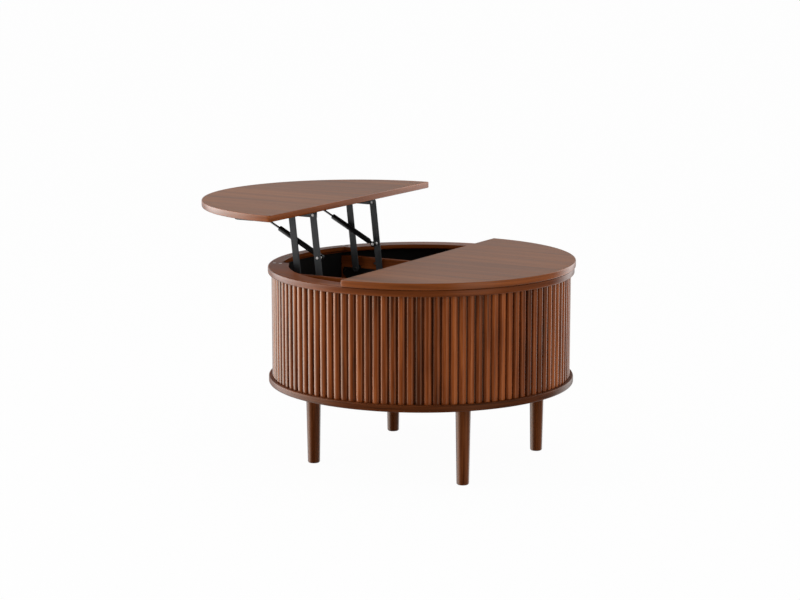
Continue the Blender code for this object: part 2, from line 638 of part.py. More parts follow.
def build_strut(strut, rod_end, side, name):
    # Tube with a bore for the rod and an eye on the stud, drawn upright and leaned to its slope
    lean = math.pi / 2 - STRUT_OPEN_SLOPE
    radius = STRUT_TUBE_DIAMETER / 2
    neck = STRUT_NECK_DIAMETER / 2
    bore = STRUT_ROD_DIAMETER / 2 + CLEARANCE
    rim = (radius - bore) / 2
    tube_profile = [
        (0, PIN_RADIUS), (neck, PIN_RADIUS),
        (neck, STRUT_TUBE_NECK), (radius, STRUT_TUBE_NECK + radius - neck),
        (radius, STRUT_TUBE_END - rim), (radius - rim, STRUT_TUBE_END), (bore, STRUT_TUBE_END),
        (bore, STRUT_BORE_START), (0, STRUT_BORE_START),
    ]
    tube = make_object("strut_tube_" + name, lathe(tube_profile, PIN_STEPS), strut, (BLACK, 0.3, 0.4),
                       (side * STRUT_SET, 0, 0), lean)
    eye = turned_pin(side, [(STRUT_EYE_DIAMETER / 2, STRUT_EYE_WIDTH / 2, -STRUT_EYE_WIDTH / 2)])
    combine(tube, eye, "UNION")
    cut_holes(tube, side, [(0, 0)], PIN_HOLE_RADIUS, STRUT_EYE_WIDTH / 2, -STRUT_EYE_WIDTH / 2)

    # Rod with its end block and the pin that rides in the bracket's slot, drawn from that pin
    rod = STRUT_ROD_DIAMETER / 2
    far = STRUT_TUBE_END - STRUT_ROD_HOLD - STRUT_OPEN_LENGTH
    rod_profile = [(0, far), (rod, far), (rod, 0), (0, 0)]
    piece = make_object("strut_rod_" + name, lathe(rod_profile, PIN_STEPS), rod_end, (STEEL_GREY, 0.25, 1),
                        (side * STRUT_SET, 0, 0), lean)
    slot_end = SLOT_FLANGE_IN - CLEARANCE
    end = [
        (STRUT_ROD_EYE_DIAMETER / 2, EYE_OUT, EYE_IN),
        (PIN_RADIUS, EYE_IN, slot_end),
        (PIN_HEAD_DIAMETER / 2, slot_end, slot_end - PIN_HEAD_HEIGHT),
    ]
    block = turned_pin(side, end)
    block.transform(Matrix.Translation((-side * STRUT_SET, 0, 0)))
    combine(piece, block, "UNION")


def build_table():
    drum = make_empty("drum_axis", None, (0, DRUM_AXIS_Y, 0))
    rear = make_empty("rear_arm_axis", drum, REAR_BASE)
    front = make_empty("front_arm_axis", drum, REAR_BASE + FRONT_OFFSET)
    lid = make_empty("lid_axis", rear, ARM_LENGTH * ARM_OPEN)
    strut = make_empty("strut_axis", rear, STUD_PLACE)
    rod_end = make_empty("rod_end_axis", strut, STRUT_OPEN_LENGTH * strut_direction(STRUT_OPEN_SLOPE))

    build_base_board(drum)
    build_legs(drum)
    build_drum_liner(drum)
    build_tambour(drum)
    build_top_ring(drum)
    build_half_top("fixed_top", drum, 1, TOP_LOW, 0)
    build_half_top("lift_top", lid, -1, PIVOT_DROP, -REAR_TOP_CLOSED.y)
    for side, name in ((-1, "left"), (1, "right")):
        build_mechanism_board(drum, side, name)
        build_base_bracket(drum, side, name)
        build_top_bracket(lid, side, name)
        rear_holes = (0, ARM_LENGTH - STRUT_STUD_SET, ARM_LENGTH)
        build_arm("rear_arm_" + name, rear, side, REAR_ARM_OUT, REAR_ARM_IN, rear_holes)
        build_arm("front_arm_" + name, front, side, FRONT_ARM_OUT, FRONT_ARM_IN, (0, ARM_LENGTH))
        build_pins(drum, rear, lid, side, name)
        build_strut(strut, rod_end, side, name)


clear_scene()
build_table()
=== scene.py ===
import math

import bmesh
import bpy
import numpy as np
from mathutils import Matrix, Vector


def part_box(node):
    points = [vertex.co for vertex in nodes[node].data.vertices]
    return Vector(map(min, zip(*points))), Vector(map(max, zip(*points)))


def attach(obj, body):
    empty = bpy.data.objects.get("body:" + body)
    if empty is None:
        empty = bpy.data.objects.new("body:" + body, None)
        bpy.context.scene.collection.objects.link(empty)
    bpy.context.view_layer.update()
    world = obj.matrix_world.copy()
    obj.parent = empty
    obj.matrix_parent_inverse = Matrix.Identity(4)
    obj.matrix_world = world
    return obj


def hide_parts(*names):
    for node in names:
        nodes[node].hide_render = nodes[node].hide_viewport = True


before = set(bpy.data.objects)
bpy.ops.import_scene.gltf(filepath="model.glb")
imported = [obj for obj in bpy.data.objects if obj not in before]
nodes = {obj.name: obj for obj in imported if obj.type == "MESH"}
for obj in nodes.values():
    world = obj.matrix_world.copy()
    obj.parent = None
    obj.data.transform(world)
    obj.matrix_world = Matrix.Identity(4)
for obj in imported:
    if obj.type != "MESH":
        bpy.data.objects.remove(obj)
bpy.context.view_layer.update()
sides = (("left", -1), ("right", 1))
random = np.random.default_rng(7)


class Value:
    # One number or colour in a node tree; sums and products of it add Math nodes
    def __init__(self, tree, socket):
        self.tree = tree
        self.socket = socket

    def maths(self, operation, first, second):
        node = self.tree.nodes.new("ShaderNodeMath")
        node.operation = operation
        for slot, value in zip(node.inputs, (first, second)):
            plug(self.tree, slot, value)
        return Value(self.tree, node.outputs[0])

    def __add__(self, other):
        return self.maths("ADD", self, other)

    def __sub__(self, other):
        return self.maths("SUBTRACT", self, other)

    def __rsub__(self, other):
        return self.maths("SUBTRACT", other, self)

    def __mul__(self, other):
        return self.maths("MULTIPLY", self, other)

    __radd__ = __add__
    __rmul__ = __mul__


def plug(tree, slot, value):
    if isinstance(value, Value):
        tree.links.new(value.socket, slot)
    else:
        slot.default_value = value


class Finish:
    # A material or world: node() adds any node, its settings first and then its sockets
    def __init__(self, name, owner=None):
        self.owner = owner or bpy.data.materials.new(name)
        self.owner.use_nodes = True
        self.tree = self.owner.node_tree
        self.shader = self.tree.nodes.get("Principled BSDF")

    def node(self, kind, settings, inputs, output=0):
        node = self.tree.nodes.new("ShaderNode" + kind)
        for name, value in settings.items():
            if name == "stops":
                while len(node.color_ramp.elements) < len(value):
                    node.color_ramp.elements.new(0.5)
                for stop, (place, colour) in zip(node.color_ramp.elements, value):
                    stop.position = place
                    stop.color = (*colour, 1)
            else:
                setattr(node, name, value)
        for name, value in inputs.items():
            plug(self.tree, node.inputs[name], value)
        return Value(self.tree, node.outputs[output])

    def mix(self, factor, first, second, how="MIX"):
        # Sockets 0, 6 and 7 are the factor and the two colours, output 2 is the colour
        return self.node("Mix", {"data_type": "RGBA", "blend_type": how}, {0: factor, 6: first, 7: second}, 2)

    def ramp(self, value, limits, ends=(0.0, 1.0), how="SMOOTHSTEP"):
        # Goes from one end to the other while the value crosses the limits
        sockets = {"Value": value, 1: limits[0], 2: limits[1], 3: ends[0], 4: ends[1]}
        return self.node("MapRange", {"interpolation_type": how}, sockets)

    def dot(self, first, second):
        return self.node("VectorMath", {"operation": "DOT_PRODUCT"}, {0: first, 1: second}, "Value")

    def surface(self, **inputs):
        for name, value in inputs.items():
            label = "".join(" " + c if c.isupper() else c for c in name).strip().title()
            plug(self.tree, self.shader.inputs[label], value)


# Surfaces

meshRule = {"weld": 2e-6, "sharp": math.radians(42)}
quarterTurn = np.linspace(0, math.pi / 2, 6)  # for every soft edge and dome
closeRow = 0.0006  # from a soft edge to the next row on the flat
nearZero = 1e-9


def loops(values):
    # The values at the four corners of every quad of a grid
    return np.stack([values[:-1, :-1], values[1:, :-1], values[1:, 1:], values[:-1, 1:]], 2)


def closed(values):
    # A row that comes back to its first value
    return np.concatenate([values, values[:1]])


def runLength(first, second):
    # How far along a line of points each of them lies
    return np.concatenate([[0], np.cumsum(np.hypot(np.diff(first), np.diff(second)))])


def makePiece(name, grids):
    # Each grid is rows and columns of points with the grain's place at every quad corner;
    # seams and poles weld where points meet
    points = np.concatenate([p.reshape(-1, 3) for p, _ in grids])
    quads, start = [], 0
    for p, _ in grids:
        index = np.arange(p.shape[0] * p.shape[1]).reshape(p.shape[:2]) + start
        quads.append(loops(index).reshape(-1, 4))
        start += index.size
    quads = np.concatenate(quads).astype(np.int32)
    mesh = bpy.data.meshes.new(name)
    mesh.vertices.add(len(points))
    mesh.vertices.foreach_set("co", points.astype(np.float32).ravel())
    mesh.loops.add(quads.size)
    mesh.loops.foreach_set("vertex_index", quads.ravel())
    mesh.polygons.add(len(quads))
    mesh.polygons.foreach_set("loop_start", np.arange(0, quads.size, 4, dtype=np.int32))
    mesh.update(calc_edges=True)
    grain = np.concatenate([g.reshape(-1, 2) for _, g in grids])
    mesh.uv_layers.new(name="grain").data.foreach_set("uv", grain.astype(np.float32).ravel())
    shape = bmesh.new()
    shape.from_mesh(mesh)
    bmesh.ops.remove_doubles(shape, verts=shape.verts, dist=meshRule["weld"])
    bmesh.ops.recalc_face_normals(shape, faces=shape.faces)
    shape.to_mesh(mesh)
    shape.free()
    mesh.shade_smooth()
    mesh.set_sharp_from_angle(angle=meshRule["sharp"])
    piece = bpy.data.objects.new(name, mesh)
    bpy.context.scene.collection.objects.link(piece)
    return piece


def fit(piece, body, finish, slotName, *stoodFor):
    piece.data.materials.append(finish)
    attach(piece, body)
    if stoodFor:
        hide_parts(*stoodFor)


def dress(finish, *names):
    # A CAD node that keeps its shape gets its finish here
    for name in names:
        nodes[name].data.materials.clear()
        nodes[name].data.materials.append(finish)


def mid(node):
    low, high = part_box(node)
    return np.array((low + high) / 2)


def softProfile(inner, outer, low, high, soft):
    # Half section from the middle of the underside, round the outer edge, to the middle of the top:
    # straight runs joined by quarter circles, with a close row beside each curve to keep the flats flat
    flatEnd = outer - (soft + closeRow)
    swell, fall = soft * np.sin(quarterTurn), soft * np.cos(quarterTurn)
    radius = np.concatenate([[inner, flatEnd], outer - soft + swell, outer - soft + fall, [flatEnd, inner]])
    height = np.concatenate([[low, low], low + soft - fall, high - soft + swell, [high, high]])
    return radius, height


def boardGrain(flatXY, run, along, height):
    # Flat faces take the grain straight from X and Y; on the rims it follows the edge
    rim = loops(np.stack(np.broadcast_arrays(run[None, :], along), -1))
    flat = np.abs(np.diff(height)) < nearZero
    return np.where(flat[None, :, None, None], loops(flatXY), rim)


def turned(radius, height, steps, middle=(0, 0, 0), axis=(0, 0, 1), grainAlong="round"):
    # A profile of radius and height spun about an axis through the middle:
    # middle + radius * (cos a * side + sin a * up) + height * axis; steps may be a list of angles,
    # and the radius may differ from angle to angle
    axis = np.array(axis, float)
    side = np.cross(axis, (0, 0, 1) if abs(axis[2]) < 0.5 else (0, 1, 0))
    side /= np.linalg.norm(side)
    up = np.cross(axis, side)
    angle = np.linspace(0, 2 * math.pi, steps + 1) if np.ndim(steps) == 0 else steps
    angle = angle[:, None, None]
    radius = np.broadcast_to(radius, (len(angle), len(height)))
    around = np.cos(angle) * side + np.sin(angle) * up
    points = np.array(middle) + radius[:, :, None] * around + height[None, :, None] * axis
    run = runLength(radius[0], height)
    along = angle[:, :, 0] * np.max(radius)
    if grainAlong == "round":
        return points, boardGrain(points[:, :, :2], run, along, height)
    return points, loops(np.stack(np.broadcast_arrays(along, run[None, :]), -1))


def slab(middles, radii, angles, low, high, soft):
    # An outline of arcs, closed by the straight runs between them, as a board with soft edges:
    # outline point minus inset * normal, at the profile's height; the flats close on the middle
    profile, height = softProfile(0, 0, low, high, soft)
    inset = -profile
    middles, radii, angles = closed(middles), closed(radii), closed(angles)
    normal = np.stack([np.cos(angles), np.sin(angles)], -1)
    outline = middles + radii[:, None] * normal
    flatXY = outline[:, None, :] - inset[None, :, None] * normal[:, None, :]
    flatXY[:, 0] = flatXY[:, -1] = outline.mean(0)
    points = np.concatenate([flatXY, np.broadcast_to(height[None, :, None], flatXY.shape[:2] + (1,))], -1)
    along = runLength(outline[:, 0], outline[:, 1])
    return points, boardGrain(flatXY, runLength(inset, height), along[:, None], height)


def roundedPolygon(corners, radius, steps):
    # Every corner of a polygon, counter-clockwise, becomes an arc tangent to its two sides
    corners = np.array(corners, float)
    side = np.roll(corners, -1, 0) - corners
    normal = np.stack([side[:, 1], -side[:, 0]], -1) / np.linalg.norm(side, axis=1)[:, None]
    before = np.roll(normal, 1, 0)
    middle = corners - radius * (before + normal) / (1 + (before * normal).sum(1))[:, None]
    first = np.arctan2(before[:, 1], before[:, 0])
    sweep = (np.arctan2(normal[:, 1], normal[:, 0]) - first) % (2 * math.pi)
    angles = first[:, None] + sweep[:, None] * np.linspace(0, 1, steps + 1)
    return np.repeat(middle, steps + 1, 0), np.full(angles.size, radius), angles.ravel()


# Finishes

grainRule = {
    "details": (4.0, 3.0, 1.0), "noise": 0.6, "pore": (1500, 55), "poreDetail": 2.0, "poreRange": (0.60, 0.72),
    "poreColour": (0.30, 0.24, 0.20), "fineHeight": 0.5, "bump": 0.0002, "flatRange": (0.4, 0.95),
    "fineRough": 0.14, "poreRough": 0.12,
}


def walnut(name, look, grooveShade=None):
    # Straight grain: noise drawn out along the grain at three widths, pores as fine dark dashes;
    # the grain map gives metres across the grain and along it
    wood = Finish(name)
    place = wood.node("UVMap", {"uv_map": "grain"}, {})

    def streaks(scale, detail):
        drawn = wood.node("Mapping", {}, {"Vector": place, "Scale": (*scale, 1)})
        sockets = {"Vector": drawn, "Scale": 1.0, "Detail": detail, "Roughness": grainRule["noise"]}
        return wood.node("TexNoise", {}, sockets)

    widths = zip(("fine", "broad", "tone"), grainRule["details"])
    fine, broad, tone = (streaks(look[width], detail) for width, detail in widths)
    blend = (fine - 0.5) * look["fineDepth"] + (broad - 0.5) * look["broadDepth"]
    blend = blend + (tone - 0.5) * look["toneDepth"] + 0.5
    colour = wood.node("ValToRGB", {"stops": look["colours"]}, {"Fac": blend})
    pores = wood.ramp(streaks(grainRule["pore"], grainRule["poreDetail"]), grainRule["poreRange"], how="LINEAR")
    colour = wood.mix(pores * look["pores"], colour, (*grainRule["poreColour"], 1), "MULTIPLY")
    height = fine * grainRule["fineHeight"] - pores
    bump = wood.node("Bump", {}, {"Strength": look["relief"], "Distance": grainRule["bump"], "Height": height})
    # Flat faces are rubbed duller than edges; the edge multiplier paints into the upright faces' colour the light they
    # catch as rims, and shade where it is below one
    upright = wood.dot(wood.node("NewGeometry", {}, {}, "Normal"), (0, 0, 1))
    flat = wood.ramp(upright * upright, grainRule["flatRange"])
    colour = wood.mix(1 - flat, colour, (*look["edge"], 1), "MULTIPLY")
    if grooveShade:
        # Painted shade in the grooves between the slats: the nearer to the drum's axis, the darker
        spot = wood.node("TexCoord", {}, {}, "Object")
        sockets = {0: spot, 1: (1, 1, 0), 2: (0, -grooveShade["axisY"], 0)}
        flatSpot = wood.node("VectorMath", {"operation": "MULTIPLY_ADD"}, sockets, "Vector")
        fromAxis = wood.node("VectorMath", {"operation": "LENGTH"}, {0: flatSpot}, "Value")
        paintedShade = wood.ramp(fromAxis, grooveShade["reach"], (1.0, 0.0))
        colour = wood.mix(paintedShade, colour, (*grooveShade["shadeColour"], 1), "MULTIPLY")
    rough = look["rough"] + flat * look["dull"]
    rough = rough + (fine - 0.5) * grainRule["fineRough"] + pores * grainRule["poreRough"]
    wood.surface(baseColor=colour, roughness=rough, normal=bump)
    wood.shader.inputs["Specular IOR Level"].default_value = look["specular"]
    wood.shader.inputs["Specular Tint"].default_value = (*look["tint"], 1)
    return wood.owner


topLook = {
    "fine": (170, 4.0), "broad": (34, 1.1), "tone": (7, 0.7), "fineDepth": 1.1, "broadDepth": 1.25, "toneDepth": 0.5,
    "colours": [(0.15, (0.098, 0.029, 0.0052)), (0.5, (0.164, 0.049, 0.009)), (0.85, (0.242, 0.079, 0.018))],
    "pores": 0.55, "relief": 0.10, "rough": 0.20, "dull": 0.28, "specular": 0.45,
    # edge: painted light, the rims paler and greyer than the flats
    "edge": (1.60, 1.35, 1.36), "tint": (1.0, 0.92, 0.82),
}
boardLook = dict(
    # edge: painted shade on the ring's upright side
    topLook, dull=0.22, specular=0.25, edge=(0.97, 0.94, 0.92),
    colours=[(0.15, (0.102, 0.024, 0.0050)), (0.5, (0.175, 0.043, 0.0088)), (0.85, (0.260, 0.071, 0.0175))],
)
# edge: painted light on the upright boards inside the drum
insideLook = dict(boardLook, specular=0.08, rough=0.4, edge=(1.2, 1.2, 1.2))
slatLook = {
    "fine": (380, 9), "broad": (110, 3.0), "tone": (0.9, 0.25), "fineDepth": 1.1, "broadDepth": 1.5, "toneDepth": 1.5,
    "colours": [(0.12, (0.073, 0.0145, 0.0030)), (0.5, (0.214, 0.0470, 0.0089)), (0.88, (0.366, 0.0940, 0.0208))],
    "pores": 0.5, "relief": 0.05, "rough": 0.13, "dull": 0.30, "specular": 0.74,
    "edge": (1.0, 1.0, 1.0), "tint": (1.0, 0.76, 0.54),
}
# The legs' walnut is darker than the slats': painted shade for the shadow the drum casts over the legs
shadedLegLook = dict(
    slatLook, tone=(4, 0.5), toneDepth=0.6, rough=0.20, specular=0.35,
    colours=[(0.12, (0.058, 0.013, 0.0029)), (0.5, (0.130, 0.032, 0.007)), (0.88, (0.205, 0.058, 0.015))],
)
# The base's walnut is a darker copy of the legs' one: painted shade, for the base's side lying in shadow
shadedBaseLook = dict(
    shadedLegLook, rough=0.30, specular=0.22,
    colours=[(0.12, (0.040, 0.009, 0.002)), (0.5, (0.093, 0.022, 0.005)), (0.88, (0.152, 0.042, 0.011))],
)
# The painted groove shade is full at the first distance from the drum's axis and gone at the second
slatLow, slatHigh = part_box("tambour_slats")
slatGrooveShade = {
    "axisY": (slatLow.y + slatHigh.y) / 2, "reach": (slatHigh.x - 0.0055, slatHigh.x - 0.0008),
    # multiplier of the painted groove shade
    "shadeColour": (0.40, 0.33, 0.28),
}
topWood = walnut("satin_walnut_top", topLook)
insideWood = walnut("matt_walnut_inside", insideLook)
boardWood = walnut("satin_walnut_board", boardLook)
slatWood = walnut("satin_walnut_slat", slatLook, slatGrooveShade)
shadedLegWood = walnut("satin_walnut_leg_shaded", shadedLegLook)
shadedBaseWood = walnut("satin_walnut_base_shaded", shadedBaseLook)

coatRule = {"gritDetail": 3.0, "cloud": 60.0, "cloudDetail": 2.0, "bump": 0.0001}


def coated(name, look):
    # Paint or plating on steel: a fine even speckle on Object coordinates, with a little relief
    coat = Finish(name)
    place = coat.node("TexCoord", {}, {}, "Object")
    grit = coat.node("TexNoise", {}, {"Vector": place, "Scale": look["grit"], "Detail": coatRule["gritDetail"]})
    cloud = coat.node("TexNoise", {}, {"Vector": place, "Scale": coatRule["cloud"], "Detail": coatRule["cloudDetail"]})
    colour = coat.mix(cloud, (*look["dark"], 1), (*look["light"], 1))
    bump = coat.node("Bump", {}, {"Strength": look["relief"], "Distance": coatRule["bump"], "Height": grit})
    coat.surface(baseColor=colour, roughness=look["rough"] + (grit - 0.5) * look["uneven"], normal=bump)
    coat.shader.inputs["Metallic"].default_value = look["metallic"]
    coat.shader.inputs["Specular IOR Level"].default_value = look["specular"]
    return coat.owner


paint = {"grit": 1800.0, "relief": 0.3, "uneven": 0.2, "metallic": 0.0, "specular": 0.2}
plate = {"grit": 1600.0, "relief": 0.1, "uneven": 0.15, "metallic": 1.0, "specular": 0.5}
greySteel = coated("grey_powder_coat", dict(
    paint, dark=(0.030, 0.033, 0.035), light=(0.048, 0.052, 0.055), rough=0.46, specular=0.35,
))
blackSteel = coated("black_powder_coat", dict(
    paint, dark=(0.008, 0.008, 0.008), light=(0.014, 0.014, 0.014), rough=0.5,
))
blackTube = coated("gloss_black_tube", dict(
    paint, dark=(0.006, 0.006, 0.006), light=(0.011, 0.011, 0.011), rough=0.28, specular=0.12,
    grit=900.0, relief=0.1, uneven=0.12,
))
blackLining = coated("matt_black_lining", dict(
    paint, dark=(0.004, 0.0037, 0.0035), light=(0.007, 0.0066, 0.006), rough=0.7, grit=700.0,
))
darkRod = coated("dark_steel_rod", dict(
    plate, dark=(0.10, 0.10, 0.105), light=(0.16, 0.16, 0.165), rough=0.25, grit=1500.0, uneven=0.1,
))
zinc = coated("zinc_plate", dict(
    plate, dark=(0.74, 0.74, 0.72), light=(0.90, 0.90, 0.88), rough=0.38, metallic=0.35,
))
# A pale non-metal copy of the zinc, so the small heads show as bright points: painted highlight
litZinc = coated("lit_zinc", dict(
    plate, dark=(0.84, 0.84, 0.83), light=(0.94, 0.94, 0.93), rough=0.32, metallic=0.0, uneven=0.12,
))
# A dark copy of the zinc for the heads inside the drum: painted shade
shadedZinc = coated("shaded_zinc", dict(
    plate, dark=(0.10, 0.10, 0.10), light=(0.15, 0.15, 0.15), rough=0.45,
))
print("finishes ready")


# Tops, ring and base

ringLow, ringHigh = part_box("top_ring")
drumY = ((ringLow + ringHigh) / 2).y

halfTop = {"soft": 0.0024, "corner": 0.0032, "gap": 0.001, "steps": 180, "cornerSteps": 6}


def makeHalfTop(node, body, facing):
    # A half disc whose two corners are small arcs tangent to the rim and to the straight edge
    low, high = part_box(node)
    half = (high.x - low.x) / 2
    corner, gap = halfTop["corner"], halfTop["gap"]
    radius = half / math.cos(math.asin(gap / half))
    cornerX = math.sqrt((radius - corner) ** 2 - (gap + corner) ** 2)
    tip = math.atan2(gap + corner, cornerX)
    straight = low.y if facing > 0 else high.y
    axisY = straight - facing * gap
    turns = (
        np.linspace(tip, math.pi - tip, halfTop["steps"]),
        np.linspace(math.pi - tip, 1.5 * math.pi, halfTop["cornerSteps"]),
        np.linspace(-0.5 * math.pi, tip, halfTop["cornerSteps"]),
    )
    spread = lambda values: np.concatenate([np.full(t.shape, value) for t, value in zip(turns, values)])
    middleX = spread((0, -cornerX, cornerX))
    middleY = spread((0, gap + corner, gap + corner))
    middles = np.stack([middleX, facing * middleY + axisY], -1)
    angles = facing * np.concatenate(turns)
    grid = slab(middles, spread((radius, corner, corner)), angles, low.z, high.z, halfTop["soft"])
    fit(makePiece(node + "_board", [grid]), body, topWood, "walnut_top", node)


makeHalfTop("fixed_top", "cabinet", 1)
makeHalfTop("lift_top", "lid", -1)

disc = {"soft": 0.003, "steps": 240}
ring = {
    "width": 0.047, "seat": 0.3285, "rebate": 0.006, "lip": 0.0008, "notchDepth": 0.018, "notchHalf": 0.1347,
    "innerSoft": 0.001,
}


def makeRing():
    # Soft rims outside and inside, a rebate under the inner part; at the front the inner edge steps back:
    # its radius is notchHalf / |cos a|, held between the plain radius and the notch's (the spin passes -Y first)
    outer = ringHigh.x
    inner = outer - ring["width"]
    notch = inner + ring["notchDepth"]
    bends = [math.acos(ring["notchHalf"] / r) for r in (inner, notch)]
    front = np.concatenate([bends, math.pi - np.array(bends)])
    angle = np.unique(np.concatenate([np.linspace(0, 2 * math.pi, disc["steps"] + 1), front]))
    inside = np.clip(ring["notchHalf"] / np.maximum(np.abs(np.cos(angle)), nearZero), inner, notch)
    inside = np.where(angle < math.pi, inside, inner)
    radius, height = softProfile(ring["seat"], outer, ringLow.z, ringHigh.z, disc["soft"])
    soft, lip = ring["innerSoft"], ring["lip"]
    under = ringLow.z + ring["rebate"]
    step = np.concatenate([[soft + closeRow], soft - soft * np.sin(quarterTurn), [0, lip]])
    stepHeight = np.concatenate([
        [ringHigh.z], ringHigh.z - soft + soft * np.cos(quarterTurn), [under + lip, under],
    ])
    rim = np.broadcast_to(radius[:-1], (len(angle), len(radius) - 1))
    closing = np.full((len(angle), 2), ring["seat"])
    radii = np.concatenate([rim, inside[:, None] + step, closing], 1)
    heights = np.concatenate([height[:-1], stepHeight, [under, ringLow.z]])
    piece = makePiece("top_ring_board", [turned(radii, heights, angle, (0, drumY, 0))])
    fit(piece, "cabinet", boardWood, "walnut_top", "top_ring")


makeRing()

baseLow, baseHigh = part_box("base_board")
radius, height = softProfile(0, baseHigh.x, baseLow.z, baseHigh.z, disc["soft"])
base = makePiece("base_round_board", [turned(radius, height, disc["steps"], (0, drumY, 0))])
fit(base, "cabinet", shadedBaseWood, "walnut_dark", "base_board")
print("tops, ring and base ready")


# Slats

slat = {"width": 0.0165, "crown": 0.006, "groove": 0.0022, "backing": 0.0012, "steps": 16, "stretch": 40}


def makeSlats():
    # Half an ellipse for each slat, between two half grooves, turned round the drum and drawn up its height
    low, high = slatLow, slatHigh
    backing = (high.x - low.x) / 2 - slat["crown"]
    count = round(2 * math.pi * backing / (slat["width"] + slat["groove"]))
    half = math.pi / count
    turn = np.linspace(0, math.pi, slat["steps"] + 1)
    edgeOut, edgeAcross = backing * math.cos(half), backing * math.sin(half)
    out = np.concatenate([[edgeOut], backing + slat["crown"] * np.sin(turn), [edgeOut]])
    across = np.concatenate([[-edgeAcross], -slat["width"] / 2 * np.cos(turn), [edgeAcross]])
    angle = (2 * half * np.arange(count))[:, None]
    x = (np.cos(angle) * out - np.sin(angle) * across).ravel()
    y = (np.sin(angle) * out + np.cos(angle) * across).ravel()
    shrink = (backing - slat["backing"]) / np.hypot(x, y)
    columns = []
    for scale, z in ((shrink, low.z), (1, low.z), (1, high.z), (shrink, high.z), (shrink, low.z)):
        columns.append(np.stack([closed(x * scale), closed(y * scale) + drumY, np.full(x.size + 1, z)], -1))
    points = np.stack(columns, 1)
    # Every slat is cut from its own stretch of wood
    shift = np.repeat(random.uniform(0, slat["stretch"], (count, 2)), out.size, 0)
    up = points[:, :, 2:]
    place = np.broadcast_to(closed(np.tile(across, count))[:, None, None], up.shape)
    grain = loops(np.concatenate([place, up], -1)) + shift[:, None, None, :]
    piece = makePiece("tambour_slat_wall", [(points, grain)])
    fit(piece, "cabinet", slatWood, "walnut_dark", "tambour_slats")
    return count


print("slats:", makeSlats())


# Legs

leg = {"foot": 0.0275, "head": 0.035, "chamfer": 0.0018, "soft": 0.0006, "steps": 64, "stretch": 9}


def makeLeg(node):
    # Straight taper from head to foot, with a small chamfer round the foot
    low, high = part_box(node)
    foot, head = leg["foot"] / 2, leg["head"] / 2
    chamfer, soft = leg["chamfer"], leg["soft"]
    radius = np.array([
        0, foot - chamfer - soft, foot - chamfer, foot - soft, foot, head - soft, head, head - soft, 0,
    ])
    height = np.array([
        0, 0, soft / 3, chamfer - soft / 2, chamfer + soft, high.z - 3 * soft, high.z - soft, high.z, high.z,
    ])
    middle = ((low.x + high.x) / 2, (low.y + high.y) / 2, 0)
    points, grain = turned(radius, height, leg["steps"], middle, grainAlong="up")
    piece = makePiece(node + "_turned", [(points, grain + random.uniform(0, leg["stretch"], 2))])
    fit(piece, "cabinet", shadedLegWood, "walnut_dark", node)


for end in ("front", "back"):
    for side, _ in sides:
        makeLeg(f"leg_{end}_{side}")
print("legs ready")


# Upright boards in the drum

upright = {"soft": 0.0008, "corner": 0.001, "cornerSteps": 3, "bevel": 0.0074}


def makeUpright(side, sign):
    # A board whose ends slope in by the bevel towards the drum's wall, as a slab of four rounded corners
    node = "mechanism_board_" + side
    low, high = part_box(node)
    inner, outer = (low.x, high.x) if sign > 0 else (high.x, low.x)
    back, front = high.y - upright["bevel"], low.y + upright["bevel"]
    corners = [(inner, low.y), (outer, front), (outer, back), (inner, high.y)]
    outline = roundedPolygon(corners if sign > 0 else corners[::-1], upright["corner"], upright["cornerSteps"])
    piece = makePiece(node + "_panel", [slab(*outline, low.z, high.z, upright["soft"])])
    fit(piece, "cabinet", insideWood, "walnut_board", node)


for side, sign in sides:
    makeUpright(side, sign)
dress(blackLining, "drum_liner")
print("upright boards ready")


# Lift units

arm = {"half": 0.0084, "soft": 0.0005, "steps": 24}


def makeArm(which, side, body):
    # A flat bar: two half circles about its pivots, as a slab turned to lie across X
    node = f"{which}_arm_{side}"
    low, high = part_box(node)
    base, top = (mid(f"{which}_{end}_pin_{side}")[1:] for end in ("base", "top"))
    lean = math.atan2(top[0] - base[0], top[1] - base[1])
    upper = np.linspace(-lean, math.pi - lean, arm["steps"])
    angles = np.concatenate([upper, upper + math.pi])
    middles = np.repeat([top, base], arm["steps"], 0)
    points, grain = slab(middles, np.full(angles.size, arm["half"]), angles, low.x, high.x, arm["soft"])
    piece = makePiece(node + "_bar", [(points[:, :, [2, 0, 1]], grain)])
    fit(piece, body, greySteel, "grey_steel", node)


pin = {"head": 0.0034, "shank": 0.003, "shoulder": 0.0045, "collar": 0.0035, "block": 0.00475, "steps": 28}
pinHead, pinGap = 0.0012, 0.0003
armThick, plateThick = 0.003, 0.0025


def pinGrid(sign, start, middle, sections):
    # Turned along X: each section is a kind and a length from the board inwards; a dome swells to the head's
    # radius, a cap falls from it, and any other kind is a plain length of its own radius
    radius, depth, here = [0.0], [0.0], 0.0
    for kind, size in sections:
        if kind == "dome":
            radius += list(pin["head"] * np.sin(quarterTurn))
            depth += list(here + size - size * np.cos(quarterTurn))
        elif kind == "cap":
            radius += list(pin["head"] * np.cos(quarterTurn))
            depth += list(here + size * np.sin(quarterTurn))
        else:
            radius += [pin[kind], pin[kind]]
            depth += [here, here + size]
        here += size
    radius.append(0.0)
    depth.append(here)
    height = sign * (start - np.array(depth))
    return turned(np.array(radius), height, pin["steps"], (0, *middle[1:]), (1, 0, 0))


def makePin(node, body, finish, sign, sections):
    # The section without a length takes what the others leave of the node's
    low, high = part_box(node)
    rest = high.x - low.x - sum(size for _, size in sections if size)
    sections = [(kind, rest if size is None else size) for kind, size in sections]
    start = high.x if sign > 0 else -low.x
    piece = makePiece(node + "_turned", [pinGrid(sign, start, mid(node), sections)])
    fit(piece, body, finish, "zinc", node)


strut = {
    "slope": math.radians(27.5), "tube": 0.00625, "start": 0.003, "neck": 0.0035, "neckEnd": 0.010, "end": 0.12655,
    "soft": 0.0012, "rod": 0.0025, "rodBack": -0.1007, "eye": 0.0065, "eyeHalf": 0.004, "eyeHole": 0.003,
    "eyeSoft": 0.0007, "steps": 40,
}


